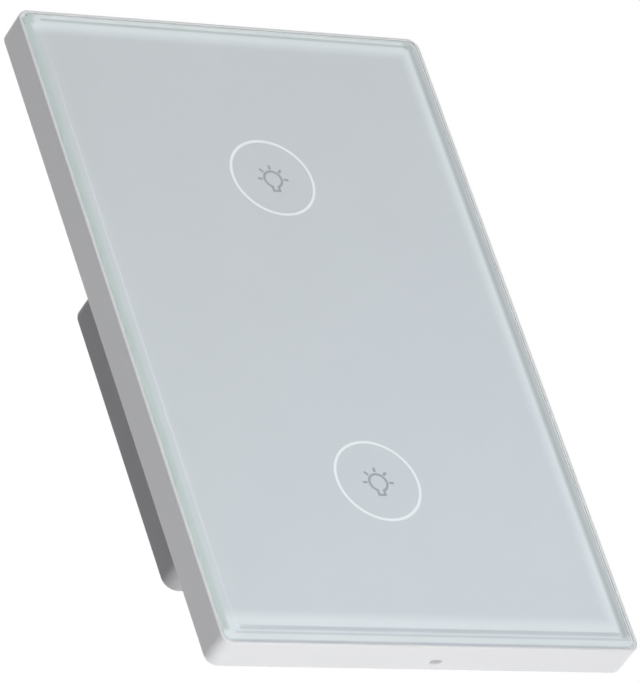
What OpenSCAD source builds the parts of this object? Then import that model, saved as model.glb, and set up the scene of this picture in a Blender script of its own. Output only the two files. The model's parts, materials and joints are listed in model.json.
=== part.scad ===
// Touch light switch for a single wall box: a bevelled glass panel in a pull-off frame,
// a mounting plate with two wall screw slots, and a rear box with the boards, relays and terminals.
// Frame: +X to the right seen from the front, +Z up, the glass faces -Y, the wall is the plane Y = 0.

/* [Plate] */
// Width of the frame
plate_w = 74; // [66:0.5:84]
// Height of the frame
plate_h = 120; // [108:0.5:132]
// Corner radius of the frame
corner_r = 2; // [1.9:0.1:5]

/* [Glass] */
// Thickness of the glass
glass_t = 2; // [1.6:0.1:2.4]
// Width of the ground bevel, seen from the front
bevel_w = 1.85; // [0.8:0.05:2.4]
// Depth of the ground bevel
bevel_drop = 0.75; // [0.3:0.05:1]
// Gap between the glass and the frame's rim
glass_gap = 0.05; // [0.02:0.01:0.2]
// Thickness of the print behind the glass
print_t = 0.15; // [0.1:0.01:0.2]
// Distance of the print from the edge of the glass
print_margin = 0.3; // [0.1:0.1:0.5]
// Thickness of the adhesive strip
tape_t = 0.2; // [0.1:0.05:0.3]

/* [Keys] */
// Distance between the two key centres
key_spacing = 58.4; // [50:0.2:66]
// Outer diameter of a light ring
ring_d = 15; // [13:0.1:18]
// Width of a light ring
ring_w = 0.5; // [0.4:0.05:1]
// Outer diameter of the bulb in an icon
icon_bulb_d = 3.5; // [3:0.1:4]
// Line width of an icon
icon_line = 0.4; // [0.3:0.05:0.6]
// Width of the bulb's cap in an icon
icon_cap_w = 1.5; // [1.2:0.1:1.8]
// Distance from the bulb's centre to the foot of its cap
icon_cap_drop = 2.5; // [2.3:0.05:3]
// Distance of the bulb's centre below the key's centre
icon_drop = 0.3; // [0:0.05:0.6]
// Length of a ray in an icon
icon_ray_len = 0.8; // [0.6:0.1:1.4]
// Gap between the bulb and a ray in an icon
icon_ray_gap = 0.2; // [0.1:0.05:0.4]
// Diameter of a sensor pad
touch_pad_d = 11.5; // [8:0.1:12.2]

/* [Frame] */
// Width of the rim that shows around the glass
rim_w = 0.6; // [0.4:0.05:1]
// Distance of the rim's top behind the foot of the bevel
rim_drop = 0.1; // [0:0.05:0.4]
// Wall of the frame
frame_wall = 1.5; // [1.2:0.1:2]
// Reach of the ledge under the glass, from the outside of the frame
ledge_w = 7; // [6.4:0.1:8]
// Thickness of the ledge
ledge_t = 1; // [0.8:0.1:1.2]
// Diameter of a push peg
peg_d = 2.6; // [2:0.1:3]
// Distance between the pegs of one side
peg_spacing = 92; // [80:1:96]
// Gap around a peg in its socket
peg_gap = 0.05; // [0.02:0.01:0.1]
// Width of the pry notch
notch_w = 2; // [1.6:0.1:3.2]
// Height of the pry notch
notch_h = 1; // [0.8:0.1:1.4]
// Distance of the pry notch's middle from the wall
notch_y = 2; // [1.4:0.1:2.4]
// Place of the pry notch, right of the middle
notch_x = 2; // [-10:0.5:10]
// Depth of the pry notch into the frame's wall
notch_depth = 1; // [0.6:0.1:1.1]

/* [Mounting plate] */
// Thickness of the mounting plate
base_t = 1.6; // [1.2:0.1:2]
// Depth of the recess in the back of the mounting plate
base_recess = 0.3; // [0.1:0.05:0.5]
// Width of the rim that lies on the wall
wall_rim_w = 5; // [4.6:0.1:6]
// Gap between the mounting plate and the frame
base_gap = 0.25; // [0.15:0.05:0.6]
// Distance between the two wall screws
wall_screw_pitch = 83.3; // [82:0.1:85]
// Width of a wall screw slot
slot_w = 4.5; // [3.8:0.1:5.5]
// Length of a wall screw slot, end to end
slot_len = 8; // [6:0.1:9]
// Width of the opening into the rear box
mouth_w = 35; // [26:0.5:36]
// Height of the opening into the rear box
mouth_h = 38; // [36:0.5:38.5]

/* [Front board] */
// Gap between the front board and the ledge, on each side
board_side_gap = 2; // [1:0.1:6]
// Margin of the front board beyond the sensor pads, at each end
board_margin = 2.05; // [1.5:0.05:6]
// Thickness of the front board
board_t = 1; // [0.8:0.1:1.2]
// Height of the seats that carry the front board
board_seat = 0.45; // [0.3:0.05:0.6]
// Diameter of a board screw
board_screw_d = 1.6; // [1.4:0.1:2]
// Height of an indicator lamp
led_t = 0.4; // [0.3:0.05:0.5]
// Room between the board screws and the print
panel_room = 1.15; // [0.1:0.05:3]

/* [Rear box] */
// Width of the rear box
box_w = 41.4; // [38:0.2:50]
// Height of the rear box
box_h = 54.5; // [50:0.5:66]
// Depth of the rear box behind the wall plane
box_d = 27.6; // [25.5:0.1:40]
// Wall of the rear box
box_wall = 1.5; // [1.2:0.1:1.6]
// Corner radius of the rear box
box_corner_r = 2.5; // [2:0.1:4]
// Diameter of a box screw
box_screw_d = 2.2; // [2:0.1:2.6]
// Length of the bosses that take the box screws
boss_len = 8; // [7:0.1:12]

/* [Power board] */
// Thickness of the power board
power_t = 1.6; // [1:0.1:2]

/* [Relays] */
// Length of a relay
relay_len = 20.5; // [18.5:0.1:24]
// Width of a relay
relay_w = 7.2; // [6.5:0.1:8]
// Height of a relay
relay_h = 15.3; // [13.5:0.1:17]
// Wall of a relay's cover
relay_wall = 0.6; // [0.5:0.1:0.7]
// Room between the relays and the floor of the rear box
relay_room = 1.1; // [0.4:0.1:4]
// Travel of a relay's armature, in degrees
armature_swing = 5; // [3:0.5:6]

/* [Terminals] */
// Distance between terminals
pole_pitch = 5; // [4.5:0.1:5.6]
// Diameter of a wire entry
wire_d = 3; // [2:0.1:3.4]
// Diameter of a terminal screw
term_screw_d = 2.4; // [2:0.1:2.6]
// Travel of a clamp cage
cage_travel = 1.8; // [1:0.1:2]

/* [Hidden] */
$fn = 64;
eps = 0.01;
through = 1;
seat_gap = 0.05;
min_corner_r = 0.4;

// Front board, on its seats on the mounting plate, inside the frame's ledge
base_front = -base_t;
board_back = base_front - board_seat;
board_front = board_back - board_t;
ledge_open_w = plate_w - 2 * ledge_w;
ledge_open_h = plate_h - 2 * ledge_w;
ledge_open_r = 1.5;
board_w = ledge_open_w - 2 * board_side_gap;
board_h = key_spacing + touch_pad_d + 2 * board_margin;
board_r = 2;
board_screw_inset = 3;
board_screw_x = board_w / 2 - board_screw_inset;
board_screw_z = board_h / 2 - board_screw_inset;
pilot_floor = 0.4;
board_screw_end = -base_recess - pilot_floor;
board_head_ratio = 2.2;
board_head_d = board_head_ratio * board_screw_d;
board_head_t = 0.55;
board_head_front = board_front - board_head_t;
seat_land = 0.7;
seat_d = board_head_d + 2 * seat_land;
led_front = board_front - led_t;
led_size = [1.6, 0.8];
led_angles = [45, 135, 225, 315];
chip_size = [10, 1.5, 4];
chip_lead = [0.4, 0.3, 1];
chip_lead_pitch = 1.27;
chip_leads = 8;

// Layers of the panel in front of the board, from the ledge to the glass
print_back = board_head_front - panel_room;
glass_back = print_back - print_t;
glass_front = glass_back - glass_t;
ledge_front = print_back + tape_t;
ledge_back = ledge_front + ledge_t;
rim_top = glass_front + bevel_drop + rim_drop;
glass_w = plate_w - 2 * (rim_w + glass_gap);
glass_h = plate_h - 2 * (rim_w + glass_gap);
glass_r = corner_r - rim_w - glass_gap;
tape_inset = 0.6;

// Keys
key_z = [key_spacing / 2, -key_spacing / 2];
ring_r = ring_d / 2;
ring_mid_r = ring_r - ring_w / 2;
window_gap = 0.02;
ray_angles = [0, 45, 90, 135, 180];

// Pegs of the frame and their sockets, in the middle of the ledge
peg_x = plate_w / 2 - (frame_wall + ledge_w) / 2;
peg_z = peg_spacing / 2;
peg_end_gap = 0.2;

// Mounting plate
base_w = plate_w - 2 * (frame_wall + base_gap);
base_h = plate_h - 2 * (frame_wall + base_gap);
base_r = max(corner_r - frame_wall - base_gap, min_corner_r);
mouth_r = 2;
slot_pad = 3;

// Power board, as far back as the relays let it be
box_floor = box_d - box_wall;
power_back = box_floor - relay_room - relay_h;
power_y = power_back - power_t;

// Plug connection between the boards
pin_count = 8;
pin_pitch = 2.54;
pin_side = 0.64;
pin_hole = 0.8;
header_z = 15;
header_w = 2.5;
header_len = pin_count * pin_pitch;
header_t = 2.5;
header_back = board_back + header_t;
pin_end_gap = 2;
pin_end = power_y - pin_end_gap;
pin_room = 0.5;

// Rear box, its posts and the bosses of the mounting plate
box_in_w = box_w - 2 * box_wall;
box_in_h = box_h - 2 * box_wall;
box_in_r = max(box_corner_r - box_wall, min_corner_r);
boss_r = 3;
post_r = 3.4;
boss_gap = 0.2;
boss_x = box_in_w / 2 - boss_r - boss_gap;
boss_z = box_in_h / 2 - boss_r - boss_gap;
screw_grip = 6;
screw_bite = 6;
screw_seat = boss_len + screw_grip;
screw_tip = boss_len - screw_bite;
box_head_ratio = 2;
box_head_d = box_head_ratio * box_screw_d;
box_head_t = 1.8;
well_gap = 0.2;
well_d = box_head_d + 2 * well_gap;
screw_hole_gap = 0.15;
pilot_gap = 0.02;
cross_w = 0.6;
cross_span = 0.6;
cross_depth = 0.5;

// Outline of the power board, and the stops and ribs that hold it
power_gap = 0.3;
power_w = box_in_w - 2 * power_gap;
power_h = box_in_h - 2 * power_gap;
post_gap = 0.4;
power_mid_h = 2 * (boss_z - post_r - post_gap);
power_end_w = 2 * (boss_x - post_r - post_gap);
stop_d = 3.6;
stop_z = (mouth_h + box_in_h) / 4;
rib_w = 1.6;
rib_len = 8;

// Relays, one on each side, with their levels above the power board
relay_gap = 0.8;
relay_x = box_in_w / 2 - rib_w - relay_gap - relay_w / 2;
relay_z = 4;
relay_in_len = relay_len - 2 * relay_wall;
relay_in_w = relay_w - 2 * relay_wall;
relay_foot = 1;
relay_step = 2;
relay_fit = 0.1;
yoke_t = 1;
yoke_w = 4.4;
coil_u = -4.4;
core_d = 2.4;
pole_d = 4.4;
pole_t = 0.5;
coil_foot = relay_step + yoke_t;
bobbin_gap = 0.1;
bobbin_wall = 0.4;
bobbin_flange = 0.6;
coil_gap = 0.2;
coil_d = relay_in_w - 2 * coil_gap;
winding_inset = 0.2;
winding_d = coil_d - 2 * winding_inset;
swing_room = 0.08;
armature_t = 0.8;
armature_front = 7.4;
tail_w = 3.2;
hinge_gap = 0.1;
pivot_r = 0.35;
pivot_gap = 0.05;
post_inset = 0.65;
contact_post_t = 0.7;
contact_post_u = relay_in_len / 2 - post_inset - contact_post_t;
tail_gap = 0.9;
armature_tail = contact_post_u - tail_gap;
contact_inset = 1.2;
contact_u = armature_tail - contact_inset;
contact_d = 2;
contact_t = 0.4;
contact_arm_t = 0.5;
arm_gap = 0.6;
arm_top = relay_h - relay_wall - arm_gap;
arm_foot = arm_top - contact_arm_t;
contact_v = arm_foot - contact_t;
contact_rise = (contact_u + contact_d / 2) * tan(armature_swing);
armature_top = contact_v - swing_room - contact_rise - contact_t;
armature_v = armature_top - armature_t;
pole_drop = (pole_d / 2 - coil_u) * tan(armature_swing);
pole_face = armature_v - swing_room - pole_drop;
bobbin_top = pole_face - pole_t - bobbin_gap;

// Terminal block at the foot of the box
pole_count = 4;
term_recess = 0.4;
term_front = -(box_h / 2 - term_recess);
term_len = 11;
term_back = term_front + term_len;
term_sink = 0.3;
term_rear = box_d - term_sink;
term_w = pole_count * pole_pitch;
term_gap = 0.2;
module_gap = 0.05;
cell_wall = 0.9;
cell_w = pole_pitch - cell_wall;
entry_wall = 1.4;
cell_front = term_front + entry_wall;
term_back_wall = 0.7;
cell_back = term_back - term_back_wall;
term_screw_inset = 5.6;
term_z = term_front + term_screw_inset;
cage_lift = 1.6;
cage_foot = power_back + cage_lift;
cage_plate = 1;
cage_nut = 2;
cage_wall = 0.4;
cage_gap = 0.1;
cage_w = cell_w - 2 * cage_gap;
cage_len = 4;
wire_room = 0.1;
wire_y = cage_foot + cage_plate + wire_room + wire_d / 2;
bar_y = wire_y + wire_d / 2 + wire_room;
bar_t = 1;
bar_gap = 0.15;
bar_w = cage_w - 2 * (cage_wall + bar_gap);
bar_reach = 3.4;
bar_leg_t = 1;
nut_lift = 1.4;
nut_y = bar_y + bar_t + nut_lift;
nut_end = nut_y + cage_nut;
term_head_d = 3.5;
term_head_t = 2.2;
cage_head_gap = 1.4;
term_head_y = nut_end + cage_travel + cage_head_gap;
term_head_gap = 0.3;
cell_top = term_head_y + term_head_t + term_head_gap;
term_tip = bar_y + bar_t + seat_gap;
thread_gap = 0.05;
driver_d = 3;
driver_slot_w = 0.6;
driver_slot_depth = 0.8;

// Other parts on the power board, in two rows between the relays, evenly spaced
trafo_core = [13, 12, 6];
trafo_leg = 3;
trafo_rim = 2.6;
trafo_side = 2.2;
trafo_wind_z = 10;
trafo_gap = 0.1;
filter_cap_d = 8;
filter_cap_h = 12.5;
film_cap_size = [5, 11, 12];
fuse_d = 4.6;
fuse_h = 8;
varistor_d = 7;
varistor_t = 3.6;
varistor_lead = 0.7;
varistor_lift = 0.8;
rectifier_size = [8.4, 3.4, 6.4];
rectifier_lead = [0.6, 2, 0.4];
rectifier_len = rectifier_size[2] + 2 * rectifier_lead[2];
part_gap = 1;
free_x = relay_x - relay_w / 2 - part_gap;
left_x = filter_cap_d / 2 - free_x;
right_x = free_x - film_cap_size[0] / 2;
row_top = box_in_h / 2;
right_gap = (row_top - term_back - fuse_d - film_cap_size[2] - trafo_wind_z - rectifier_len) / 5;
fuse_z = term_back + right_gap + fuse_d / 2;
film_cap_z = fuse_z + fuse_d / 2 + right_gap + film_cap_size[2] / 2;
trafo_z = film_cap_z + film_cap_size[2] / 2 + right_gap + trafo_wind_z / 2;
rectifier_z = trafo_z + trafo_wind_z / 2 + right_gap + rectifier_len / 2;
left_gap = (trafo_z - trafo_wind_z / 2 - term_back - varistor_t - filter_cap_d) / 3;
varistor_z = term_back + left_gap + varistor_t / 2;
filter_cap_z = varistor_z + varistor_t / 2 + left_gap + filter_cap_d / 2;

RELAY_PIECES = ["base", "cover", "yoke", "bobbin", "winding", "armature", "contact"];
TERMINAL_PIECES = ["housing", "bar", "cage", "screw"];

// Shapes that repeat

// A rectangle with round corners, drawn as X and Z
module rounded_rect(w, h, r) {
    square([w - 2 * r, h], center = true);
    square([w, h - 2 * r], center = true);
    for (sx = [-1, 1], sz = [-1, 1])
        translate([sx * (w / 2 - r), sz * (h / 2 - r)]) circle(r);
}

// A flat shape drawn as X and Z, from depth y0 to depth y1
module slab(y0, y1) {
    translate([0, y1, 0]) rotate([90, 0, 0]) linear_extrude(y1 - y0) children();
}

// A round rod along Y at x, z
module rod(d, y0, y1, x = 0, z = 0) {
    translate([x, y1, z]) rotate([90, 0, 0]) cylinder(d = d, h = y1 - y0);
}

// A block given by its limits
module block(x, y, z) {
    translate([x[0], y[0], z[0]]) cube([x[1] - x[0], y[1] - y[0], z[1] - z[0]]);
}

// What a straight bevel takes off one long edge, drawn across the edge
module bevel_profile(half) {
    slope = bevel_drop / bevel_w;
    polygon([
        [half - bevel_w, glass_front],
        [half - bevel_w, glass_front - through],
        [half + through, glass_front - through],
        [half + through, glass_front + slope * (bevel_w + through)]]);
}

// A place at each of four corners
module four_corners(x, z) {
    for (sx = [-1, 1], sz = [-1, 1]) translate([sx * x, 0, sz * z]) children();
}

// Panel

module glass_panel() {
    color("aliceblue", 0.4) difference() {
        slab(glass_front, glass_back) rounded_rect(glass_w, glass_h, glass_r);
        for (side = [0, 1]) mirror([side, 0, 0])
            linear_extrude(2 * plate_h, center = true) bevel_profile(glass_w / 2);
        for (side = [0, 1]) mirror([0, 0, side])
            rotate([0, 90, 0]) linear_extrude(2 * plate_w, center = true) bevel_profile(glass_h / 2);
    }
}

// Outline of a bulb with its cap and rays, widened by grow on each side
module icon_outline(grow) {
    bulb_r = icon_bulb_d / 2;
    half_line = icon_line / 2 + grow;
    mid_r = bulb_r - icon_line / 2;
    cap_mid_w = icon_cap_w - icon_line;
    cap_top = -sqrt(pow(mid_r, 2) - pow(cap_mid_w / 2, 2));
    cap_foot = -icon_cap_drop + icon_line / 2;
    difference() {
        union() {
            circle(mid_r + half_line);
            translate([0, (cap_top + cap_foot) / 2])
                square([cap_mid_w + 2 * half_line, cap_top - cap_foot + 2 * half_line], center = true);
        }
        circle(mid_r - half_line);
        translate([0, cap_foot / 2 + half_line / 2])
            square([cap_mid_w - 2 * half_line, -cap_foot - half_line], center = true);
    }
    for (a = ray_angles) rotate(a)
        translate([bulb_r + icon_ray_gap + icon_ray_len / 2, 0])
            square([icon_ray_len + 2 * grow, icon_line + 2 * grow], center = true);
}

module ring_outline(grow) {
    difference() {
        circle(ring_r + grow);
        circle(ring_r - ring_w - grow);
    }
}

module back_print() {
    color("lightsteelblue") slab(glass_back, print_back) difference() {
        rounded_rect(glass_w - 2 * print_margin, glass_h - 2 * print_margin, glass_r - print_margin);
        for (z = key_z) translate([0, z]) {
            ring_outline(window_gap);
            translate([0, -icon_drop]) icon_outline(window_gap);
        }
    }
}

module icon(z) {
    color("slategray") slab(glass_back, print_back) translate([0, z - icon_drop]) icon_outline(0);
}

module light_ring(z) {
    color("white") slab(glass_back, led_front - seat_gap) translate([0, z]) ring_outline(0);
}

module panel_tape() {
    color("gainsboro") slab(print_back, ledge_front) difference() {
        rounded_rect(glass_w - 2 * tape_inset, glass_h - 2 * tape_inset, glass_r - tape_inset);
        rounded_rect(ledge_open_w + 2 * tape_inset, ledge_open_h + 2 * tape_inset, ledge_open_r);
    }
}

// A pocket with round ends in the frame's lower wall
module pry_notch() {
    end = (notch_w - notch_h) / 2;
    depth = notch_depth + through;
    translate([notch_x, -notch_y, -plate_h / 2 - through]) {
        translate([-end, -notch_h / 2, 0]) cube([2 * end, notch_h, depth]);
        for (s = [-1, 1]) translate([s * end, 0, 0]) cylinder(d = notch_h, h = depth);
    }
}

module panel_frame() {
    color("white") {
        difference() {
            slab(rim_top, 0) rounded_rect(plate_w, plate_h, corner_r);
            slab(rim_top - through, ledge_front)
                rounded_rect(plate_w - 2 * rim_w, plate_h - 2 * rim_w, corner_r - rim_w);
            slab(rim_top, through) rounded_rect(ledge_open_w, ledge_open_h, ledge_open_r);
            slab(ledge_back, through)
                rounded_rect(plate_w - 2 * frame_wall, plate_h - 2 * frame_wall, corner_r - frame_wall);
            pry_notch();
        }
        four_corners(peg_x, peg_z) rod(peg_d, ledge_back - eps, -peg_end_gap);
    }
}

// Mounting plate and front board

// A place at each of the two wall screws
module at_wall_slots() {
    for (s = [-1, 1]) translate([0, s * wall_screw_pitch / 2]) children();
}

module wall_slot() {
    run = slot_len - slot_w;
    square([slot_w, run], center = true);
    for (s = [-1, 1]) translate([0, s * run / 2]) circle(d = slot_w);
}

module base_plate() {
    color("whitesmoke") difference() {
        union() {
            slab(base_front, -base_recess) difference() {
                rounded_rect(base_w, base_h, base_r);
                rounded_rect(mouth_w, mouth_h, mouth_r);
            }
            slab(-base_recess - eps, 0) {
                difference() {
                    rounded_rect(base_w, base_h, base_r);
                    rounded_rect(base_w - 2 * wall_rim_w, base_h - 2 * wall_rim_w, base_r);
                }
                at_wall_slots() rounded_rect(slot_w + 2 * slot_pad, slot_len + 2 * slot_pad, slot_pad);
            }
            four_corners(board_screw_x, board_screw_z) rod(seat_d, board_back, base_front + eps);
            four_corners(boss_x, boss_z) rod(2 * boss_r, -base_recess - eps, boss_len);
            for (s = [-1, 1]) rod(stop_d, -base_recess - eps, power_y, 0, s * stop_z);
        }
        slab(base_front - through, through) at_wall_slots() wall_slot();
        four_corners(peg_x, peg_z) rod(peg_d + 2 * peg_gap, base_front - through, through);
        four_corners(board_screw_x, board_screw_z)
            rod(board_screw_d + 2 * pilot_gap, board_back - through, board_screw_end + pilot_gap);
        four_corners(boss_x, boss_z)
            rod(box_screw_d + 2 * pilot_gap, screw_tip - pilot_gap, boss_len + through);
    }
}

module touch_board() {
    color("darkgreen") difference() {
        slab(board_front, board_back) rounded_rect(board_w, board_h, board_r);
        four_corners(board_screw_x, board_screw_z)
            rod(board_screw_d + 2 * screw_hole_gap, board_front - through, board_back + through);
    }
}

module touch_pad(z) {
    color("dimgray") rod(touch_pad_d, print_back + seat_gap, board_front, 0, z);
}

module indicator_leds() {
    color("ivory") for (z = key_z, a = led_angles)
        slab(led_front, board_front) translate([ring_mid_r * cos(a), z + ring_mid_r * sin(a)])
            rotate(a + 90) square(led_size, center = true);
}

module touch_chip() {
    half = chip_size / 2;
    color("black") translate([0, board_back, 0]) {
        block([-half[0], half[0]], [0, chip_size[1]], [-half[2], half[2]]);
        for (i = [0 : chip_leads - 1], s = [0, 1]) mirror([0, 0, s])
            translate([(i - (chip_leads - 1) / 2) * chip_lead_pitch - chip_lead[0] / 2, 0, half[2] - eps])
                cube(chip_lead);
    }
}

// Row of square shapes at the pins of the plug connection
module pin_row(side) {
    for (i = [0 : pin_count - 1])
        translate([(i - (pin_count - 1) / 2) * pin_pitch, header_z]) square(side, center = true);
}

module header_pins() {
    color("goldenrod") {
        slab(board_back, header_back) translate([0, header_z]) square([header_len, header_w], center = true);
        slab(header_back - eps, pin_end) pin_row(pin_side);
    }
}

module header_socket() {
    color("black") difference() {
        slab(header_back + seat_gap, power_y)
            translate([0, header_z]) square([header_len, header_w], center = true);
        slab(header_back - through, pin_end + pin_room) pin_row(pin_hole);
    }
}

// A round-head screw along Y, head towards the given side, with a cross recess
module screw(d, head_d, head_t, seat, tip, out) {
    head_end = seat + out * head_t;
    difference() {
        union() {
            rod(d, min(seat + out * eps, tip), max(seat + out * eps, tip));
            rod(head_d, min(seat, head_end), max(seat, head_end));
        }
        for (turn = [0, 90]) translate([0, head_end, 0]) rotate([0, turn, 0])
            cube([cross_span * head_d, 2 * cross_depth * head_t, cross_w], center = true);
    }
}

module board_screws() {
    color("silver") four_corners(board_screw_x, board_screw_z)
        screw(board_screw_d, board_head_d, board_head_t, board_front, board_screw_end, -1);
}

module box_screws() {
    color("silver") four_corners(boss_x, boss_z)
        screw(box_screw_d, box_head_d, box_head_t, screw_seat, screw_tip, 1);
}

// Rear box and power board

module rear_box() {
    color("whitesmoke") difference() {
        union() {
            difference() {
                slab(-base_recess, box_d) rounded_rect(box_w, box_h, box_corner_r);
                slab(-through, box_floor) rounded_rect(box_in_w, box_in_h, box_in_r);
            }
            for (s = [-1, 1]) translate([s * (box_in_w / 2 - rib_w / 2 + eps), 0, 0])
                block([-rib_w / 2, rib_w / 2], [power_back, box_floor + eps], [-rib_len / 2, rib_len / 2]);
        }
        four_corners(boss_x, boss_z) rod(well_d, screw_seat, box_d + through);
        block([-term_w / 2 - term_gap, term_w / 2 + term_gap], [power_back - term_gap, box_d + through],
              [-box_h / 2 - through, term_back + term_gap]);
    }
}

// Sleeves in the corners of the rear box, which carry the heads of the box screws
module box_posts() {
    color("whitesmoke") difference() {
        intersection() {
            slab(boss_len, box_floor)
                rounded_rect(box_in_w - 2 * seat_gap, box_in_h - 2 * seat_gap, box_in_r);
            four_corners(boss_x, boss_z) rod(2 * post_r, boss_len, box_floor);
        }
        four_corners(boss_x, boss_z) {
            rod(box_screw_d + 2 * screw_hole_gap, boss_len - through, box_floor + through);
            rod(well_d, screw_seat, box_floor + through);
        }
    }
}

module power_board() {
    color("darkgreen") slab(power_y, power_back) {
        square([power_w, power_mid_h], center = true);
        square([power_end_w, power_h], center = true);
    }
}

module transformer_core() {
    half = trafo_core / 2;
    color("dimgray") translate([0, power_back, trafo_z]) difference() {
        block([-half[0], half[0]], [0, trafo_core[1]], [-half[2], half[2]]);
        for (s = [0, 1]) mirror([s, 0, 0])
            block([trafo_leg / 2, half[0] - trafo_side], [trafo_rim, trafo_core[1] - trafo_rim],
                  [-half[2] - through, half[2] + through]);
    }
}

module transformer_winding() {
    out_x = trafo_core[0] / 2 - trafo_side - trafo_gap;
    leg_x = trafo_leg / 2 + trafo_gap;
    leg_z = trafo_core[2] / 2 + trafo_gap;
    color("gold") translate([0, power_back, trafo_z]) difference() {
        block([-out_x, out_x], [trafo_rim, trafo_core[1] - trafo_rim], [-trafo_wind_z / 2, trafo_wind_z / 2]);
        block([-leg_x, leg_x], [0, trafo_core[1]], [-leg_z, leg_z]);
    }
}

module filter_capacitor() {
    color("midnightblue") rod(filter_cap_d, power_back, power_back + filter_cap_h, left_x, filter_cap_z);
}

module film_capacitor() {
    half = film_cap_size / 2;
    color("goldenrod") translate([right_x, power_back, film_cap_z])
        block([-half[0], half[0]], [0, film_cap_size[1]], [-half[2], half[2]]);
}

module fuse() {
    color("saddlebrown") rod(fuse_d, power_back, power_back + fuse_h, right_x, fuse_z);
}

module varistor() {
    r = varistor_d / 2;
    color("steelblue") translate([left_x, power_back, varistor_z]) {
        translate([0, r + varistor_lift, -varistor_t / 2]) cylinder(r = r, h = varistor_t);
        for (s = [-1, 1]) rod(varistor_lead, 0, r, s * r / 2, 0);
    }
}

module bridge_rectifier() {
    half = rectifier_size / 2;
    color("black") translate([0, power_back, rectifier_z]) {
        block([-half[0], half[0]], [0, rectifier_size[1]], [-half[2], half[2]]);
        for (sx = [-1, 1], s = [0, 1]) mirror([0, 0, s])
            translate([sx * half[0] / 2 - rectifier_lead[0] / 2, 0, half[2] - eps]) cube(rectifier_lead);
    }
}

// Relays: u runs along Z from the hinge of the armature, v is the height above the power board

module at_relay(n) {
    translate([(n == 1 ? -1 : 1) * relay_x, power_back, relay_z]) children();
}

module relay_base(n) {
    step_x = relay_in_w / 2 - relay_fit;
    step_z = relay_in_len / 2 - relay_fit;
    color("black") at_relay(n) {
        block([-relay_w / 2, relay_w / 2], [0, relay_foot], [-relay_len / 2, relay_len / 2]);
        block([-step_x, step_x], [relay_foot - eps, relay_step], [-step_z, step_z]);
    }
}

module relay_cover(n) {
    color("royalblue") at_relay(n) difference() {
        block([-relay_w / 2, relay_w / 2], [relay_foot, relay_h], [-relay_len / 2, relay_len / 2]);
        block([-relay_in_w / 2, relay_in_w / 2], [relay_foot - through, relay_h - relay_wall],
              [-relay_in_len / 2, relay_in_len / 2]);
    }
}

// The round edge that the armature rocks on
module pivot(r, w) {
    translate([-w / 2, armature_v, 0]) rotate([0, 90, 0]) cylinder(r = r, h = w);
}

module relay_yoke(n) {
    color("gray") at_relay(n) {
        block([-yoke_w / 2, yoke_w / 2], [relay_step, coil_foot], [coil_u - pole_d / 2, yoke_t / 2]);
        block([-yoke_w / 2, yoke_w / 2], [relay_step, armature_v - hinge_gap], [-yoke_t / 2, yoke_t / 2]);
        pivot(pivot_r, yoke_w);
        rod(core_d, coil_foot - eps, pole_face - pole_t + eps, 0, coil_u);
        rod(pole_d, pole_face - pole_t, pole_face, 0, coil_u);
    }
}

module relay_bobbin(n) {
    barrel_d = core_d + 2 * (seat_gap + bobbin_wall);
    color("ivory") at_relay(n) difference() {
        union() {
            rod(barrel_d, coil_foot, bobbin_top, 0, coil_u);
            rod(coil_d, coil_foot, coil_foot + bobbin_flange, 0, coil_u);
            rod(coil_d, bobbin_top - bobbin_flange, bobbin_top, 0, coil_u);
        }
        rod(core_d + 2 * seat_gap, coil_foot - through, bobbin_top + through, 0, coil_u);
    }
}

module relay_winding(n) {
    inner_d = core_d + 4 * seat_gap + 2 * bobbin_wall;
    flange_room = bobbin_flange + seat_gap;
    color("chocolate") at_relay(n) difference() {
        rod(winding_d, coil_foot + flange_room, bobbin_top - flange_room, 0, coil_u);
        rod(inner_d, coil_foot, bobbin_top, 0, coil_u);
    }
}

module relay_armature(n) {
    color("silver") at_relay(n) difference() {
        union() {
            block([-yoke_w / 2, yoke_w / 2], [armature_v, armature_top], [-armature_front, yoke_t / 2]);
            block([-tail_w / 2, tail_w / 2], [armature_v, armature_top], [0, armature_tail]);
            rod(contact_d, armature_top - eps, armature_top + contact_t, 0, contact_u);
        }
        pivot(pivot_r + pivot_gap, yoke_w + 2 * through);
    }
}

module relay_contact(n) {
    arm_end = contact_post_u + contact_post_t;
    color("darkgoldenrod") at_relay(n) {
        rod(contact_d, contact_v, arm_foot + eps, 0, contact_u);
        block([-tail_w / 2, tail_w / 2], [arm_foot, arm_top], [contact_u - contact_d / 2, arm_end]);
        block([-tail_w / 2, tail_w / 2], [relay_step, arm_top], [contact_post_u, arm_end]);
    }
}

// Terminals

function pole_x(n) = (n - (pole_count + 1) / 2) * pole_pitch;

module terminal_housing(n) {
    half_w = (pole_pitch - module_gap) / 2;
    color("seagreen") translate([pole_x(n), 0, 0]) difference() {
        block([-half_w, half_w], [power_back, term_rear], [term_front, term_back]);
        block([-cell_w / 2, cell_w / 2], [power_back - through, cell_top], [cell_front, cell_back]);
        rod(driver_d, cell_top - through, term_rear + through, 0, term_z);
        translate([0, wire_y, term_front - through]) cylinder(d = wire_d, h = entry_wall + 2 * through);
    }
}

module terminal_bar(n) {
    leg_z = term_z + bar_reach;
    color("gold") translate([pole_x(n), 0, 0]) {
        block([-bar_w / 2, bar_w / 2], [bar_y, bar_y + bar_t], [term_z - bar_reach, leg_z + bar_leg_t]);
        block([-bar_w / 2, bar_w / 2], [power_back, bar_y + eps], [leg_z, leg_z + bar_leg_t]);
    }
}

module terminal_cage(n) {
    half_w = cage_w / 2;
    half_len = cage_len / 2;
    color("lightgray") translate([pole_x(n), 0, term_z]) difference() {
        block([-half_w, half_w], [cage_foot, nut_end], [-half_len, half_len]);
        block([-half_w + cage_wall, half_w - cage_wall], [cage_foot + cage_plate, nut_y],
              [-half_len - through, half_len + through]);
        rod(term_screw_d + 2 * thread_gap, nut_y - through, nut_end + through);
    }
}

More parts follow.
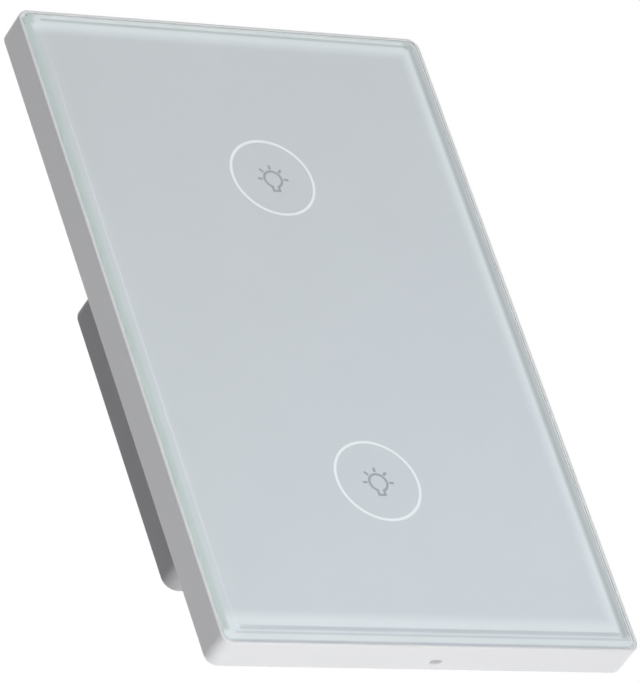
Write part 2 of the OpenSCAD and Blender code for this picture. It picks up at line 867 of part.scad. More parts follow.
module terminal_screw(n) {
    head_end = term_head_y + term_head_t;
    color("silver") translate([pole_x(n), 0, term_z]) difference() {
        union() {
            rod(term_screw_d, term_tip, term_head_y + eps);
            rod(term_head_d, term_head_y, head_end);
        }
        translate([0, head_end, 0])
            cube([term_head_d + through, 2 * driver_slot_depth, driver_slot_w], center = true);
    }
}

glass_panel();
back_print();
icon(key_z[0]);  // upper_icon
icon(key_z[1]);  // lower_icon
light_ring(key_z[0]);  // upper_light_ring
light_ring(key_z[1]);  // lower_light_ring
panel_tape();
panel_frame();
base_plate();
touch_board();
touch_pad(key_z[0]);  // upper_touch_pad
touch_pad(key_z[1]);  // lower_touch_pad
indicator_leds();
touch_chip();
header_pins();
header_socket();
board_screws();
rear_box();
box_posts();
box_screws();
power_board();
transformer_core();
transformer_winding();
filter_capacitor();
film_capacitor();
fuse();
varistor();
bridge_rectifier();
for (n = [1 : 2]) {
    relay_base(n);
    relay_cover(n);
    relay_yoke(n);
    relay_bobbin(n);
    relay_winding(n);
    relay_armature(n);
    relay_contact(n);
}
for (n = [1 : pole_count]) {
    terminal_housing(n);
    terminal_bar(n);
    terminal_cage(n);
    terminal_screw(n);
}
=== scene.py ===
import json
import math

import bmesh
import bpy
from mathutils import Matrix, Vector


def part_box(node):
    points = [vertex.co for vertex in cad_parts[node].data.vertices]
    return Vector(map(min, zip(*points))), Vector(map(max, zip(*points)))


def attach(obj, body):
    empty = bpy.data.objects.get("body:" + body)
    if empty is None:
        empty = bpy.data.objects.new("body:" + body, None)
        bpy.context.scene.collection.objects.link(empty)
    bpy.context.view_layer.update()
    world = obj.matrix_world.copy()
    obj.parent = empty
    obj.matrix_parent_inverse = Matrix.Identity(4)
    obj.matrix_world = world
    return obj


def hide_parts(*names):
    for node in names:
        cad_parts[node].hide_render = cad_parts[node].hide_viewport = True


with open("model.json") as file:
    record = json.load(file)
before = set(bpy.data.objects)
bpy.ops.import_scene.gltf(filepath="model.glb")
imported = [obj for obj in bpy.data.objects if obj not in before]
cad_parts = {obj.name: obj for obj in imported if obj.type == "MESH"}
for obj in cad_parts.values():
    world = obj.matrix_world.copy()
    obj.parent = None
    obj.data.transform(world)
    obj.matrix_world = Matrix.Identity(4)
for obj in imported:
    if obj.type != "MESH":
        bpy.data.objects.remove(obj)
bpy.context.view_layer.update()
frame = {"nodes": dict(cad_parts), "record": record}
nodes = frame["nodes"]
bodies = frame["record"]["behaviour"]["bodies"]
body_of = {node: body for body, members in bodies.items() for node in members}
slot_of = {part["node"]: part["material_slot"] for part in frame["record"]["subparts"]}
scene = bpy.context.scene
scene.view_settings.view_transform = "Standard"
MM = 0.001
WHITE = (1.0, 1.0, 1.0, 1.0)

# The glass: its ground bevel, and the ridge where the bevel meets the flat front
glass_low, glass_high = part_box("glass_panel")
bevel_wide = 1.85 * MM
bevel_drop = 0.75 * MM
ridge_x = glass_high.x - bevel_wide
ridge_z = glass_high.z - bevel_wide

# The frame's lower side, and the middle of the pry notch in it
frame_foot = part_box("panel_frame")[0].z
notch_x = 2.0 * MM
notch_y = -2.0 * MM


# Camera, at the photograph's angle: below the plate, on its left

def place_camera():
    place = Vector((-0.53137, -0.69937, -0.53991))
    look = Vector((0.5169, 0.6768, 0.5242)).normalized()
    lean = Vector((-0.0406, -0.5922, 0.8048))
    right = look.cross(lean).normalized()
    up = right.cross(look)
    data = bpy.data.cameras.new("camera")
    data.lens = 349.95
    data.sensor_width = 36
    data.clip_start = 0.1
    data.clip_end = 60
    camera = bpy.data.objects.new("camera", data)
    turn = Matrix((right, up, -look)).transposed().to_4x4()
    camera.matrix_world = Matrix.Translation(place) @ turn
    scene.collection.objects.link(camera)
    scene.camera = camera


# Node trees

def paint(red, green, blue):
    """A colour as it shows on screen, 0 to 255, as the linear colour that shaders take."""
    shares = [c / 255 for c in (red, green, blue)]
    linear = [s / 12.92 if s <= 0.04045 else ((s + 0.055) / 1.055) ** 2.4 for s in shares]
    return (*linear, 1.0)


def put(tree, kind, inputs=None, **settings):
    """A new node with its settings; each input takes a plain value or the socket that feeds it."""
    node = tree.nodes.new("ShaderNode" + kind)
    for name, value in settings.items():
        setattr(node, name, value)
    for name, item in (inputs or {}).items():
        if isinstance(item, bpy.types.NodeSocket):
            tree.links.new(item, node.inputs[name])
        else:
            node.inputs[name].default_value = item
    return node


def maths(tree, operation, *items):
    """One sum on sockets or plain numbers."""
    return put(tree, "Math", dict(enumerate(items)), operation=operation).outputs[0]


def mix_colour(tree, share, first, second):
    """Colour first where share is 0, and second where it is 1."""
    # The node keeps its two colours at inputs 6 and 7, and their mix at output 2
    return put(tree, "Mix", {0: share, 6: first, 7: second}, data_type="RGBA").outputs[2]


def ramp(tree, value, low, high, start=0.0, end=1.0):
    """Start where value is low, end where it is high, and a smooth step between."""
    ends = {"From Min": low, "From Max": high, "To Min": start, "To Max": end}
    node = put(tree, "MapRange", {"Value": value, **ends}, interpolation_type="SMOOTHSTEP")
    return node.outputs["Result"]


def own_place(tree):
    """Where a point lies on its piece."""
    return put(tree, "TexCoord").outputs["Object"]


def own_axes(tree):
    """Where a point lies on its piece, along X, Y and Z."""
    return put(tree, "SeparateXYZ", {"Vector": own_place(tree)}).outputs


def varied(tree, middle, noise, spread):
    """The middle value, raised and lowered by a noise around 0.5."""
    centred = maths(tree, "SUBTRACT", noise, 0.5)
    return maths(tree, "MULTIPLY_ADD", centred, spread, middle)


def toned(tree, colour, noise, amount):
    """The colour made a little lighter and darker by a noise around 0.5."""
    value = varied(tree, 1.0, noise, amount)
    return put(tree, "HueSaturation", {"Value": value, "Color": colour}).outputs["Color"]


# Effects that several finishes share

def new_group(name, inputs, outputs):
    """A node group with its sockets: the tree, what it is given, and what it makes."""
    tree = bpy.data.node_groups.new(name, "ShaderNodeTree")
    for label, kind, value in inputs:
        socket = tree.interface.new_socket(label, in_out="INPUT", socket_type="NodeSocket" + kind)
        socket.default_value = value
    for label, kind in outputs:
        tree.interface.new_socket(label, in_out="OUTPUT", socket_type="NodeSocket" + kind)
    return tree, tree.nodes.new("NodeGroupInput").outputs, tree.nodes.new("NodeGroupOutput").inputs


def moulded_grain():
    """Fine matt grain of moulded plastic, with slow changes of tone."""
    tree, given, made = new_group(
        "moulded_grain",
        [("Colour", "Color", (0.8, 0.8, 0.8, 1)), ("Shade", "Float", 0.06), ("Roughness", "Float", 0.4),
         ("Spread", "Float", 0.1), ("Grain", "Float", 2500.0)],
        [("Colour", "Color"), ("Roughness", "Float"), ("Height", "Float")])
    place = own_place(tree)
    fine = put(tree, "TexNoise", {"Vector": place, "Scale": given["Grain"], "Detail": 3.0}).outputs[0]
    broad = put(tree, "TexNoise", {"Vector": place, "Scale": 70.0, "Detail": 3.0}).outputs[0]
    tree.links.new(toned(tree, given["Colour"], broad, given["Shade"]), made["Colour"])
    tree.links.new(varied(tree, given["Roughness"], fine, given["Spread"]), made["Roughness"])
    tree.links.new(fine, made["Height"])
    return tree


def drawn_lines():
    """Lines of drawn or rolled metal, long where Stretch is small."""
    tree, given, made = new_group(
        "drawn_lines",
        [("Colour", "Color", (0.6, 0.6, 0.6, 1)), ("Shade", "Float", 0.2), ("Roughness", "Float", 0.3),
         ("Spread", "Float", 0.2), ("Stretch", "Vector", (4000, 300, 4000))],
        [("Colour", "Color"), ("Roughness", "Float"), ("Height", "Float")])
    drawn = put(tree, "VectorMath", {0: own_place(tree), 1: given["Stretch"]}, operation="MULTIPLY")
    lines = put(tree, "TexNoise", {"Vector": drawn.outputs[0], "Scale": 1.0, "Detail": 4.0}).outputs[0]
    tree.links.new(toned(tree, given["Colour"], lines, given["Shade"]), made["Colour"])
    tree.links.new(varied(tree, given["Roughness"], lines, given["Spread"]), made["Roughness"])
    tree.links.new(lines, made["Height"])
    return tree


def copper_layer():
    """Lacquered tracks and tinned pads on a circuit board's faces, and its bare core at the edge."""
    half_lane = 0.5
    face_turn = (0.6, 0.8)
    track_edge = (0.24, 0.29)
    clear_ring = (0.2, 0.23)
    pad_edge = (0.16, 0.14)
    face_roughness = 0.3
    core_roughness = 0.6
    tree, given, made = new_group(
        "copper_layer",
        [("Lacquer", "Color", (0.01, 0.1, 0.03, 1)), ("Track", "Color", (0.03, 0.2, 0.06, 1)),
         ("Tin", "Color", (0.6, 0.6, 0.58, 1)), ("Core", "Color", (0.3, 0.3, 0.15, 1)),
         ("Pads", "Float", 190.0), ("Routes", "Float", 60.0), ("Lanes", "Float", 9.0)],
        [("Colour", "Color"), ("Metallic", "Float"), ("Roughness", "Float"), ("Height", "Float")])
    place = put(tree, "TexCoord").outputs
    facing = put(tree, "SeparateXYZ", {"Vector": place["Normal"]}).outputs["Y"]
    face = ramp(tree, maths(tree, "ABSOLUTE", facing), *face_turn)
    upright = (math.radians(90), 0, 0)
    flat = put(tree, "Mapping", {"Vector": place["Object"], "Rotation": upright}).outputs[0]
    routes = put(tree, "TexVoronoi", {"Vector": flat, "Scale": given["Routes"], "Randomness": 0.9},
                 voronoi_dimensions="2D", distance="CHEBYCHEV").outputs["Distance"]
    lane = maths(tree, "PINGPONG", maths(tree, "MULTIPLY", routes, given["Lanes"]), half_lane)
    dots = put(tree, "TexVoronoi", {"Vector": flat, "Scale": given["Pads"], "Randomness": 0.55},
               voronoi_dimensions="2D").outputs["Distance"]
    track = maths(tree, "MULTIPLY", ramp(tree, lane, *track_edge), ramp(tree, dots, *clear_ring))
    pads = maths(tree, "MULTIPLY", ramp(tree, dots, *pad_edge), face)
    lacquered = mix_colour(tree, track, given["Lacquer"], given["Track"])
    sides = mix_colour(tree, face, given["Core"], lacquered)
    roughness = maths(tree, "MULTIPLY_ADD", face, face_roughness - core_roughness, core_roughness)
    raised = maths(tree, "MULTIPLY", maths(tree, "MAXIMUM", track, pads), face)
    tree.links.new(mix_colour(tree, pads, sides, given["Tin"]), made["Colour"])
    tree.links.new(pads, made["Metallic"])
    tree.links.new(roughness, made["Roughness"])
    tree.links.new(raised, made["Height"])
    return tree


def glass_ridge():
    """How far a point lies outside the ridge of the glass, seen from the front; below 0 inside it."""
    tree, given, made = new_group(
        "glass_ridge",
        [("Half Width", "Float", ridge_x), ("Half Height", "Float", ridge_z)],
        [("Outside", "Float")])
    parts = own_axes(tree)
    side = maths(tree, "SUBTRACT", maths(tree, "ABSOLUTE", parts["X"]), given["Half Width"])
    end = maths(tree, "SUBTRACT", maths(tree, "ABSOLUTE", parts["Z"]), given["Half Height"])
    tree.links.new(maths(tree, "MAXIMUM", side, end), made["Outside"])
    return tree


groups = {
    "moulded": moulded_grain(),
    "drawn": drawn_lines(),
    "copper": copper_layer(),
    "ridge": glass_ridge(),
}


# Finishes

def start_material(name):
    """A new material with one shader on its surface."""
    material = bpy.data.materials.new(name)
    material.use_nodes = True
    tree = material.node_tree
    tree.nodes.clear()
    shader = put(tree, "BsdfPrincipled")
    put(tree, "OutputMaterial", {"Surface": shader.outputs["BSDF"]})
    return material, tree, shader


def mix_surface(tree, share, shader, other):
    """Puts another shader on the surface where share is 1, and leaves the first where it is 0."""
    surface = shader.outputs["BSDF"].links[0].to_socket
    mixed = put(tree, "MixShader", {0: share, 1: shader.outputs["BSDF"], 2: other.outputs[0]})
    tree.links.new(mixed.outputs[0], surface)


def place_group(tree, group, inputs):
    """What a shared effect makes of these inputs."""
    return put(tree, "Group", inputs, node_tree=groups[group]).outputs


def lay_finish(tree, shader, made):
    """Gives the shader the colour and roughness that a shared effect makes."""
    tree.links.new(made["Colour"], shader.inputs["Base Color"])
    tree.links.new(made["Roughness"], shader.inputs["Roughness"])


def add_bump(tree, shader, height, depth):
    """Raises the surface by depth where height is 1."""
    bump = put(tree, "Bump", {"Strength": 1.0, "Distance": depth, "Height": height})
    tree.links.new(bump.outputs["Normal"], shader.inputs["Normal"])


def plastic(name, colour, roughness=0.4, shade=0.06, spread=0.12, grain=2500.0, depth=0.012, gloss=0.5):
    """Moulded plastic of one colour; the depth of its grain is in millimetres."""
    material, tree, shader = start_material(name)
    made = place_group(tree, "moulded", {"Colour": colour, "Shade": shade, "Roughness": roughness,
                                         "Spread": spread, "Grain": grain})
    lay_finish(tree, shader, made)
    shader.inputs["Specular IOR Level"].default_value = gloss
    add_bump(tree, shader, made["Height"], depth * MM)
    return material


def metal(name, colour, roughness=0.3, shade=0.2, spread=0.2, stretch=(4000, 300, 4000), depth=0.004):
    """Drawn or rolled metal; the depth of its lines is in millimetres."""
    material, tree, shader = start_material(name)
    made = place_group(tree, "drawn", {"Colour": colour, "Shade": shade, "Roughness": roughness,
                                       "Spread": spread, "Stretch": stretch})
    lay_finish(tree, shader, made)
    shader.inputs["Metallic"].default_value = 1.0
    add_bump(tree, shader, made["Height"], depth * MM)
    return material


def frame_plastic():
    """White moulded plastic, with painted shade inside the pry notch."""
    frame_white = paint(232, 232, 234)
    # A greyer white, painted as the shade that falls inside the pry notch
    notch_shade = paint(217, 216, 215)
    across_fade = (1.3 * MM, 1.1 * MM)
    along_fade = (0.8 * MM, 0.6 * MM)
    mouth_fade = (frame_foot + 0.05 * MM, frame_foot + 0.4 * MM)
    end_fade = (frame_foot + 1.3 * MM, frame_foot + 1.1 * MM)
    grain_depth = 0.012 * MM
    material, tree, shader = start_material("white_plastic")
    parts = own_axes(tree)
    across = maths(tree, "ABSOLUTE", maths(tree, "SUBTRACT", parts["X"], notch_x))
    along = maths(tree, "ABSOLUTE", maths(tree, "SUBTRACT", parts["Y"], notch_y))
    near = maths(tree, "MULTIPLY", ramp(tree, across, *across_fade), ramp(tree, along, *along_fade))
    past_mouth = ramp(tree, parts["Z"], *mouth_fade)
    before_end = ramp(tree, parts["Z"], *end_fade)
    deep = maths(tree, "MULTIPLY", past_mouth, before_end)
    # The inside of the notch takes the painted shade
    colour = mix_colour(tree, maths(tree, "MULTIPLY", near, deep), frame_white, notch_shade)
    made = place_group(tree, "moulded", {"Colour": colour, "Shade": 0.03, "Roughness": 0.38,
                                         "Spread": 0.12, "Grain": 2500.0})
    lay_finish(tree, shader, made)
    add_bump(tree, shader, made["Height"], grain_depth)
    return material


def clear_glass():
    """Clear glass with faint wipe marks, a grey seam on its ridges that is partly painted shade, and a
    painted shadow along its foot; lamps reach the print.
    """
    glass_tint = paint(249, 252, 251)
    # A grey ground seam that is also painted shade: full at the top and foot, weaker at the right, and
    # none at the left where the ridge catches light
    seam_grey_and_shade = paint(193, 199, 202)
    # Painted shadow: a darker blue-grey along the lowest edge of the glass
    foot_shadow_tint = paint(204, 207, 214)
    shadow_tint = (0.97, 0.985, 0.98, 1)
    seam_fade = (0.5 * MM, 0.14 * MM)
    left_fade = (-ridge_x + 0.8 * MM, -ridge_x + 0.45 * MM)
    right_fade = (ridge_x - 1.3 * MM, ridge_x - 0.5 * MM)
    foot_fade = (glass_low.z + 0.25 * MM, glass_low.z + 0.02 * MM)
    right_share = 0.65
    left_ground = 2.0
    seam_roughness = 0.12
    material, tree, shader = start_material("glass")
    parts = own_axes(tree)
    outside = place_group(tree, "ridge", {"Half Width": ridge_x, "Half Height": ridge_z})["Outside"]
    ridge = ramp(tree, maths(tree, "ABSOLUTE", outside), *seam_fade)
    left = ramp(tree, parts["X"], *left_fade)
    right = ramp(tree, parts["X"], *right_fade, end=right_share)
    # The last fraction of a millimetre of the glass's foot, where the painted shadow lies
    foot = ramp(tree, parts["Z"], *foot_fade)
    # Where the ridge is lit, at the left and partly at the right, the seam's painted shade is taken away
    seam_shade_lifted = maths(tree, "ADD", left, right)
    seam = maths(tree, "MAXIMUM", maths(tree, "SUBTRACT", ridge, seam_shade_lifted), 0.0)
    ground = maths(tree, "MULTIPLY_ADD", maths(tree, "MULTIPLY", ridge, left), left_ground, seam)
    wiped = place_group(tree, "drawn", {"Roughness": 0.02, "Spread": 0.03, "Stretch": (60, 60, 9)})
    roughness = maths(tree, "MULTIPLY_ADD", ground, seam_roughness, wiped["Roughness"])
    tinted = mix_colour(tree, foot, mix_colour(tree, seam, glass_tint, seam_grey_and_shade), foot_shadow_tint)
    tree.links.new(roughness, shader.inputs["Roughness"])
    tree.links.new(tinted, shader.inputs["Base Color"])
    shader.inputs["Transmission Weight"].default_value = 1.0
    shader.inputs["IOR"].default_value = 1.5
    in_shadow = put(tree, "LightPath").outputs["Is Shadow Ray"]
    mix_surface(tree, in_shadow, shader, put(tree, "BsdfTransparent", {"Color": shadow_tint}))
    return material


def print_face(tree, parts):
    """The flat field, with painted shade and light: greyer at the upper left and lighter, bluer at the
    lower right, as the light falls, and a paler border at the top, right and foot, painted light that
    comes in through the bevel.
    """
    # Painted shade and light across the field, from grey at the upper left to blue at the lower right
    grey = paint(190, 193, 196)
    blue = paint(197, 201, 207)
    # Painted light: the pale border where light comes in through the bevel
    pale = paint(213, 217, 221)
    slant_reach = 90.0 * MM
    foot_line = ridge_z - 1.9 * MM
    border_fade = (-2.4 * MM, 0.2 * MM)
    right = maths(tree, "SUBTRACT", parts["X"], ridge_x)
    top = maths(tree, "SUBTRACT", parts["Z"], ridge_z)
    foot = maths(tree, "MULTIPLY_ADD", parts["Z"], -1.0, -foot_line)
    near = maths(tree, "MAXIMUM", maths(tree, "MAXIMUM", right, top), foot)
    slant = maths(tree, "SUBTRACT", parts["X"], parts["Z"])
    field = mix_colour(tree, ramp(tree, slant, -slant_reach, slant_reach), grey, blue)
    return mix_colour(tree, ramp(tree, near, *border_fade), field, pale)


def print_strip(tree, parts, at_left):
    """The strip under the bevel, painted lighter and darker side by side as the light falls through the
    bevel: pale at the top, palest at the foot, greenish and darker at the left, grey at the right.
    """
    # Four painted tones of one print: light and shade by side
    top_strip = paint(208, 213, 213)
    left_strip = paint(181, 192, 190)
    right_strip = paint(173, 178, 180)
    foot_strip_light = paint(219, 223, 225)
    right_fade = (ridge_x - 1.0 * MM, ridge_x)
    foot_fade = (-ridge_z + 0.9 * MM, -ridge_z - 0.1 * MM)
    strip = mix_colour(tree, at_left, top_strip, left_strip)
    strip = mix_colour(tree, ramp(tree, parts["X"], *right_fade), strip, right_strip)
    return mix_colour(tree, ramp(tree, parts["Z"], *foot_fade), strip, foot_strip_light)


def screen_print():
    """Pale lacquer behind the glass, painted in other tones under the bevel, and a fine painted shadow
    of the ridge along the foot.
    """
    # Painted shadow: a fine darker line that the ridge casts on the print along the foot
    ridge_shadow_tone = paint(196, 201, 206)
    ridge_shadow_z = -ridge_z + 0.2 * MM
    ridge_shadow_fade = (0.3 * MM, 0.1 * MM)
    left_fade = (-ridge_x + 1.0 * MM, -ridge_x)
    strip_fade = (-0.3 * MM, 0.5 * MM)
    material, tree, shader = start_material("back_print")
    parts = own_axes(tree)
    outside = place_group(tree, "ridge", {"Half Width": ridge_x, "Half Height": ridge_z})["Outside"]
    at_left = ramp(tree, parts["X"], *left_fade)
    face = print_face(tree, parts)
    strip = print_strip(tree, parts, at_left)
    colour = mix_colour(tree, ramp(tree, outside, *strip_fade), face, strip)
    off_ridge_shadow = maths(tree, "ABSOLUTE", maths(tree, "SUBTRACT", parts["Z"], ridge_shadow_z))
    # The ridge's painted shadow, left out at the left
    ridge_shadow = maths(tree, "SUBTRACT", ramp(tree, off_ridge_shadow, *ridge_shadow_fade), at_left)
    colour = mix_colour(tree, ridge_shadow, colour, ridge_shadow_tone)
    made = place_group(tree, "moulded", {"Colour": colour, "Shade": 0.03, "Roughness": 0.5,
                                         "Spread": 0.1, "Grain": 4000.0})
    lay_finish(tree, shader, made)
    return material


def circuit_board():
    """Green lacquered board with tinned pads."""
    copper_depth = 0.03 * MM
    material, tree, shader = start_material("circuit_board")
    made = place_group(tree, "copper", {"Lacquer": paint(18, 84, 48), "Track": paint(36, 112, 66),
                                        "Tin": paint(200, 200, 196), "Core": paint(176, 172, 124),
                                        "Pads": 190.0, "Routes": 60.0, "Lanes": 9.0})
    lay_finish(tree, shader, made)
    tree.links.new(made["Metallic"], shader.inputs["Metallic"])
    add_bump(tree, shader, made["Height"], copper_depth)
    return material


def copper_wire():
    """Turns of enamelled wire side by side, with dark gaps between them."""
    wire = paint(198, 112, 62)
    gap = paint(70, 30, 14)
    pitch = 0.3 * MM
    wire_depth = 0.4 * pitch
    # A wave of scale 1 is pi / 10 long
    scale = math.pi / 10 / pitch
    material, tree, shader = start_material("copper")
    turns = put(tree, "TexWave", {"Vector": own_place(tree), "Scale": scale, "Distortion": 0.4},
                bands_direction="Y").outputs["Fac"]
    made = place_group(tree, "drawn", {"Colour": mix_colour(tree, turns, gap, wire), "Shade": 0.25,
                                       "Roughness": 0.32, "Spread": 0.15})
    lay_finish(tree, shader, made)
    shader.inputs["Metallic"].default_value = 0.85
    add_bump(tree, shader, turns, wire_depth)
    return material


finishes = {
    "glass": clear_glass(),
    "back_print": screen_print(),
    "icon_ink": plastic("icon_ink", paint(148, 152, 158), roughness=0.5, shade=0.1),
    "light_guide": plastic("light_guide", paint(228, 230, 232), roughness=0.3, shade=0.02, depth=0.004),
    "tape": plastic("tape", paint(226, 226, 220), roughness=0.55, grain=1500.0, depth=0.02),
    "white_plastic": frame_plastic(),
    # A light grey, darker than the frame's white: partly the box's own colour, partly painted shade for
    # its sides behind the plate
    "box_plastic": plastic("box_plastic", paint(194, 194, 197), roughness=0.6, shade=0.05, depth=0.03,
                           gloss=0.12),
    "circuit_board": circuit_board(),
    "pad_foam": plastic("pad_foam", paint(58, 58, 60), roughness=0.85, shade=0.3, grain=5000.0,
                        depth=0.05),
    "lamp": plastic("lamp", paint(244, 236, 200), roughness=0.25, shade=0.1, depth=0.004),
    "chip": plastic("chip", paint(34, 34, 36), roughness=0.55, grain=6000.0),
    "contact_brass": metal("contact_brass", paint(214, 178, 104), roughness=0.28),
    "steel": metal("steel", paint(196, 196, 194), roughness=0.3, shade=0.1, spread=0.12,
                   stretch=(1800, 500, 1800), depth=0.001),
    "relay_black": plastic("relay_black", paint(40, 40, 42), roughness=0.5),
    "relay_blue": plastic("relay_blue", paint(44, 96, 170), roughness=0.42),
    "iron": metal("iron", paint(150, 150, 150), roughness=0.4, stretch=(900, 900, 900)),
    "bobbin_plastic": plastic("bobbin_plastic", paint(232, 226, 208), roughness=0.45),
    "copper": copper_wire(),
    "ferrite": plastic("ferrite", paint(62, 62, 64), roughness=0.62, shade=0.2, grain=3500.0,
                       depth=0.03),
    "winding_tape": plastic("winding_tape", paint(226, 190, 60), roughness=0.3, shade=0.08, grain=900.0),
    "capacitor_sleeve": plastic("capacitor_sleeve", paint(32, 40, 78), roughness=0.3, shade=0.08),
    "film_box": plastic("film_box", paint(208, 160, 62), roughness=0.4),
    "fuse_brown": plastic("fuse_brown", paint(112, 66, 38), roughness=0.42),
    "varistor_blue": plastic("varistor_blue", paint(56, 108, 168), roughness=0.5, shade=0.12,
                             grain=1200.0),
    "terminal_green": plastic("terminal_green", paint(46, 138, 86), roughness=0.42),
}


# Finished pieces

def finish_piece(name, bm, replaced, smooth_degrees=40):
    """A mesh object at the origin that stands for a CAD node and takes its body and finish."""
    weld = 0.001 * MM
    bmesh.ops.remove_doubles(bm, verts=bm.verts, dist=weld)
    bmesh.ops.dissolve_degenerate(bm, dist=weld, edges=bm.edges)
    mesh = bpy.data.meshes.new(name)
    bm.to_mesh(mesh)
    bm.free()
    mesh.shade_smooth()
    mesh.set_sharp_from_angle(angle=math.radians(smooth_degrees))
    piece = bpy.data.objects.new(name, mesh)
    scene.collection.objects.link(piece)
    even = piece.modifiers.new("even_normals", "WEIGHTED_NORMAL")
    even.keep_sharp = True
    mesh.materials.append(finishes[slot_of[replaced]])
    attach(piece, body_of[replaced])
    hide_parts(replaced)


def sharp_edges(bm, degrees):
    """The edges whose faces turn by more than this."""
    return [e for e in bm.edges if e.is_manifold and e.calc_face_angle() > math.radians(degrees)]


def round_edges(bm, edges, radius, segments):
    """Rounds these edges."""
    bmesh.ops.bevel(bm, geom=edges, offset=radius, offset_type="OFFSET", segments=segments, profile=0.5,
                    affect="EDGES", clamp_overlap=False, material=-1)


def soften(node, radius):
    """The node's own shape with its sharp edges rounded, as moulded, stamped and ground parts are."""
    weld = 0.002 * MM
    flat_degrees = 0.6
    sharp_degrees = 30
    edge_segments = 2
    bm = bmesh.new()
    bm.from_mesh(nodes[node].data)
    bmesh.ops.remove_doubles(bm, verts=bm.verts, dist=weld)
    bmesh.ops.dissolve_limit(bm, angle_limit=math.radians(flat_degrees), verts=bm.verts, edges=bm.edges)
    round_edges(bm, sharp_edges(bm, sharp_degrees), radius, edge_segments)
    finish_piece(node + "_finished", bm, node)


def rounded_slab(bm, low, high, radius, segments):
    """A slab across Y with round corners, between two opposite corners."""
    middle = (low + high) / 2
    size = high - low
    bmesh.ops.create_cube(bm, size=1.0)
    bmesh.ops.scale(bm, vec=size, verts=bm.verts)
    bmesh.ops.translate(bm, vec=middle, verts=bm.verts)
    corners = [e for e in bm.edges if abs(e.verts[0].co.y - e.verts[1].co.y) > size.y / 2]
    round_edges(bm, corners, radius, segments)


def ground_glass():
    """The glass: four ground bevels that meet in mitres, with soft ridges and fine seamed edges."""
    corner_radius = 1.35 * MM
    corner_segments = 12
    ridge_radius = 0.4 * MM
    ridge_segments = 6
    seamed_radius = 0.08 * MM
    seamed_segments = 2
    seamed_degrees = 26
    # The back reaches a little into the print, so that no air lies between them
    into_print = Vector((0, 0.03 * MM, 0))
    front = glass_low.y + 0.01 * MM
    bm = bmesh.new()
    rounded_slab(bm, glass_low, glass_high + into_print, corner_radius, corner_segments)
    for x, z in ((1, 0), (-1, 0), (0, 1), (0, -1)):
        foot = Vector((glass_high.x * x, glass_low.y + bevel_drop, glass_high.z * z))
        normal = Vector((bevel_drop * x, -bevel_wide, bevel_drop * z)).normalized()
        bmesh.ops.bisect_plane(bm, geom=bm.verts[:] + bm.edges[:] + bm.faces[:], plane_co=foot,
                               plane_no=normal, clear_outer=True)
        bmesh.ops.edgeloop_fill(bm, edges=[e for e in bm.edges if e.is_boundary])
    bmesh.ops.recalc_face_normals(bm, faces=bm.faces)
    ridges = [e for e in bm.edges if all(v.co.y < front for v in e.verts)]
    round_edges(bm, ridges, ridge_radius, ridge_segments)
    round_edges(bm, sharp_edges(bm, seamed_degrees), seamed_radius, seamed_segments)
    finish_piece("front_glass", bm, "glass_panel", smooth_degrees=60)


# Edge radius of each softened node, in millimetres
softened = {
    "panel_frame": 0.22, "base_plate": 0.2, "rear_box": 0.35, "box_posts": 0.2, "panel_tape": 0.05,
    "touch_board": 0.08, "power_board": 0.08, "upper_touch_pad": 0.15, "lower_touch_pad": 0.15,
    "indicator_leds": 0.08, "touch_chip": 0.06, "header_pins": 0.06, "header_socket": 0.06,
    "board_screws": 0.08, "box_screws": 0.15, "transformer_core": 0.25, "transformer_winding": 0.4,
    "filter_capacitor": 0.4, "film_capacitor": 0.5, "fuse": 0.4, "varistor": 0.3,
    "bridge_rectifier": 0.1,
}
relay_edges = {
    "base": 0.15, "cover": 0.3, "yoke": 0.06, "bobbin": 0.1, "winding": 0.2, "armature": 0.06,
}
terminal_edges = {"housing": 0.12, "bar": 0.1, "cage": 0.08, "screw": 0.1}
for number in (1, 2):
    for part, radius in relay_edges.items():
        softened[f"relay_{number}_{part}"] = radius
for number in (1, 2, 3, 4):
    for part, radius in terminal_edges.items():
        softened[f"terminal_{part}_{number}"] = radius

place_camera()
# The nodes that no piece replaces keep their shape and show it in their own finish
for name, node in nodes.items():
    node.data.materials.clear()
    node.data.materials.append(finishes[slot_of[name]])
ground_glass()
for name, radius in softened.items():
    soften(name, radius * MM)


# Stage: a pale floor far below the camera, a white surround and six soft lamps

def seen_directly(tree):
    """1 for what the camera, gloss and glass look at, and 0 for all other light."""
    path = put(tree, "LightPath").outputs
    seen = maths(tree, "MAXIMUM", path["Is Camera Ray"], path["Is Glossy Ray"])
    return maths(tree, "MAXIMUM", seen, path["Is Transmission Ray"])


def floor_finish():
    """Pale ground that shows nearly white to the camera, to gloss and to glass, and keeps a shadow."""
    white_share = 0.82
    material, tree, shader = start_material("floor")
    made = place_group(tree, "moulded", {"Colour": paint(238, 238, 238), "Shade": 0.01, "Roughness": 0.7,
                                         "Spread": 0.05, "Grain": 40.0})
    lay_finish(tree, shader, made)
    share = maths(tree, "MULTIPLY", seen_directly(tree), white_share)
    mix_surface(tree, share, shader, put(tree, "Emission", {"Color": WHITE, "Strength": 1.0}))
    return material


def lay_floor():
    half_size = 20
    depth = 1.8
    bm = bmesh.new()
    bmesh.ops.create_grid(bm, x_segments=1, y_segments=1, size=half_size)
    bmesh.ops.translate(bm, vec=(0, 0, -depth), verts=bm.verts)
    mesh = bpy.data.meshes.new("floor")
    bm.to_mesh(mesh)
    bm.free()
    mesh.materials.append(floor_finish())
    floor = bpy.data.objects.new("floor", mesh)
    scene.collection.objects.link(floor)


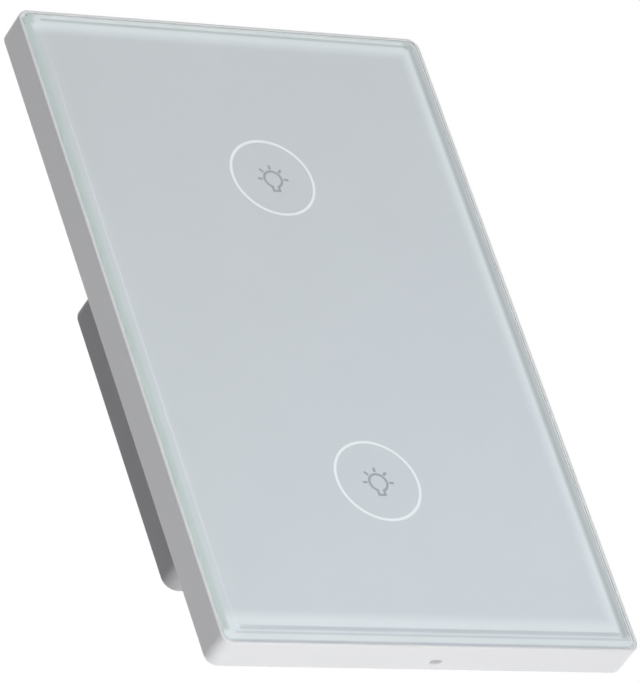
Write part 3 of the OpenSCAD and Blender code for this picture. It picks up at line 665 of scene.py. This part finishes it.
def light_surround():
    """White to the camera, gloss and glass, and a soft light to all else, fuller from the front."""
    front_level = 0.85
    least_level = 0.035
    world = bpy.data.worlds.new("surround")
    world.use_nodes = True
    scene.world = world
    tree = world.node_tree
    tree.nodes.clear()
    way = put(tree, "TexCoord").outputs["Generated"]
    rearward = put(tree, "SeparateXYZ", {"Vector": way}).outputs["Y"]
    ahead = maths(tree, "MAXIMUM", maths(tree, "MULTIPLY", rearward, -1.0), 0.0)
    level = maths(tree, "MULTIPLY_ADD", maths(tree, "POWER", ahead, 2.0), front_level, least_level)
    soft = put(tree, "Background", {"Color": WHITE, "Strength": level})
    white = put(tree, "Background", {"Color": WHITE, "Strength": 1.0})
    mixed = put(tree, "MixShader", {0: seen_directly(tree), 1: soft.outputs[0], 2: white.outputs[0]})
    put(tree, "OutputWorld", {"Surface": mixed.outputs[0]})


def hang_lamp(name, way, distance, size, level, tint=(1, 1, 1), mirrored=False):
    """A soft lamp, size wide and high, that lights a white face turned to it to this level."""
    data = bpy.data.lights.new(name, "AREA")
    data.shape = "RECTANGLE"
    data.size, data.size_y = size
    data.color = tint
    data.energy = level * math.pi ** 2 * distance ** 2
    lamp = bpy.data.objects.new(name, data)
    toward = Vector(way).normalized()
    lamp.location = toward * distance
    lamp.rotation_mode = "QUATERNION"
    lamp.rotation_quaternion = toward.to_track_quat("Z", "Y")
    lamp.visible_camera = False
    lamp.visible_glossy = mirrored
    scene.collection.objects.link(lamp)


lay_floor()
light_surround()
hang_lamp("key_lamp", way=(-0.4, -0.78, -0.48), distance=0.8, size=(0.2, 0.2), level=0.32,
          tint=(0.97, 0.99, 1.0))
hang_lamp("under_lamp", way=(-0.1, -0.06, -0.98), distance=0.9, size=(0.6, 0.6), level=0.57)
hang_lamp("ridge_lamp", way=(0.23, -0.82, 0.52), distance=1.2, size=(0.3, 0.5), level=0.09,
          mirrored=True)
hang_lamp("high_lamp", way=(0.05, 0.3, 1.0), distance=1.1, size=(0.8, 0.8), level=0.4)
hang_lamp("right_lamp", way=(0.93, 0.3, -0.1), distance=1.1, size=(0.7, 0.7), level=0.4)
hang_lamp("rear_lamp", way=(0.02, 0.95, 0.3), distance=1.1, size=(0.8, 0.8), level=0.55)
